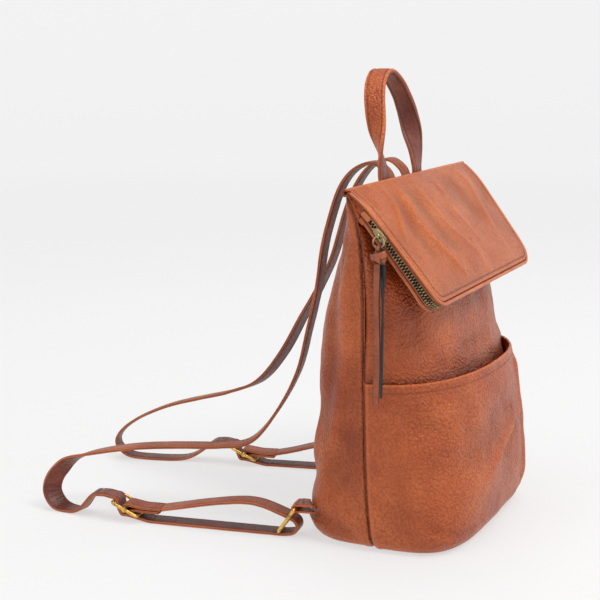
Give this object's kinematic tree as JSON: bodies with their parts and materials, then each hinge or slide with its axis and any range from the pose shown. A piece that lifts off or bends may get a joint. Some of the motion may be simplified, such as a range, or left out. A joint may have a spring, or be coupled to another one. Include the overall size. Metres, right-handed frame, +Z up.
{
  "type": "backpack",
  "caption": "Fold-over leather backpack with a zip-edged flap, a slip front pocket, a carry handle and two adjustable shoulder straps lying behind it.",
  "frame": {"origin": "on the floor under the middle of the bag's base, in the plane of the side seams near the bottom", "axes": "+Z up, the flap and pocket face -Y, the straps lie at +Y, the wearer's left is -X"},
  "size_m": [0.2949, 0.4076, 0.3812],
  "materials": {
    "tan_leather": "pebbled grain, satin",
    "strap_leather": "smooth, satin",
    "antique_brass": "worn, satin",
    "lining_cloth": "plain weave",
    "zip_tape": "woven",
    "stiffener": "matte"
  },
  "bodies": {
    "bag": {"base_panel": "tan_leather", "base_board": "stiffener", "front_panel": "tan_leather", "back_panel": "tan_leather", "body_lining": "lining_cloth", "front_pocket": "tan_leather", "top_yoke": "tan_leather", "handle_anchors": "tan_leather", "left_strap": "strap_leather", "right_strap": "strap_leather", "left_strap_loop": "strap_leather", "right_strap_loop": "strap_leather", "left_strap_tab": "tan_leather", "right_strap_tab": "tan_leather"},
    "flap": {"flap_top_panel": "tan_leather", "fold_cord": "zip_tape", "flap_lining": "lining_cloth", "flap_under_panel": "tan_leather", "flap_top_rim": "tan_leather", "flap_under_rim": "tan_leather", "zip_tape_upper": "zip_tape", "zip_tape_lower": "zip_tape", "zip_teeth_upper": "antique_brass", "zip_teeth_lower": "antique_brass", "zip_end_tabs": "tan_leather"},
    "zip_slider": {"zip_slider": "antique_brass"},
    "pull_ring": {"pull_ring": "antique_brass"},
    "pull_thong": {"pull_knot": "tan_leather", "pull_tails": "strap_leather"},
    "handle": {"handle_rolls": "tan_leather", "carry_handle": "tan_leather"},
    "left_adjuster": {"left_buckle": "antique_brass", "left_strap_weave": "strap_leather", "left_strap_fold": "strap_leather"},
    "right_adjuster": {"right_buckle": "antique_brass", "right_strap_weave": "strap_leather", "right_strap_fold": "strap_leather"},
    "left_ring": {"left_ring": "antique_brass"},
    "right_ring": {"right_ring": "antique_brass"}
  },
  "joints": [
    {"name": "flap_fold", "type": "hinge", "parent": "bag", "child": "flap", "pos_m": [0, 0.009, 0.291], "axis": [-1, 0, 0], "range_deg": [0, 125]},
    {"name": "zip_slide", "type": "slide", "parent": "flap", "child": "zip_slider", "axis": [0.1229, -0.5954, -0.794], "range_m": [0, 0.036]},
    {"name": "ring_swing", "type": "hinge", "parent": "zip_slider", "child": "pull_ring", "pos_m": [-0.14426, -0.01738, 0.25956], "axis": [0, 1, 0], "range_deg": [0, 60]},
    {"name": "thong_swing", "type": "hinge", "parent": "pull_ring", "child": "pull_thong", "pos_m": [-0.14426, -0.01738, 0.25076], "axis": [0, 1, 0], "range_deg": [0, 40]},
    {"name": "handle_swing", "type": "hinge", "parent": "bag", "child": "handle", "pos_m": [0, 0.017, 0.288], "axis": [-1, 0, 0], "range_deg": [-34, 90]},
    {"name": "left_adjust", "type": "slide", "parent": "bag", "child": "left_adjuster", "axis": [-0.1357, 0.9907, 0], "range_m": [-0.08, 0.012], "deforming": ["left_strap", "left_strap_loop"]},
    {"name": "right_adjust", "type": "slide", "parent": "bag", "child": "right_adjuster", "axis": [-0.1994, 0.9799, 0], "range_m": [-0.06, 0.012], "deforming": ["right_strap", "right_strap_loop"]},
    {"name": "left_ring_swing", "type": "hinge", "parent": "bag", "child": "left_ring", "pos_m": [-0.09773, 0.06902, 0.025], "axis": [0.9907, 0.1357, 0], "range_deg": [0, 18]},
    {"name": "right_ring_swing", "type": "hinge", "parent": "bag", "child": "right_ring", "pos_m": [0.0984, 0.06904, 0.025], "axis": [0.9799, 0.1994, 0], "range_deg": [0, 18]}
  ]
}
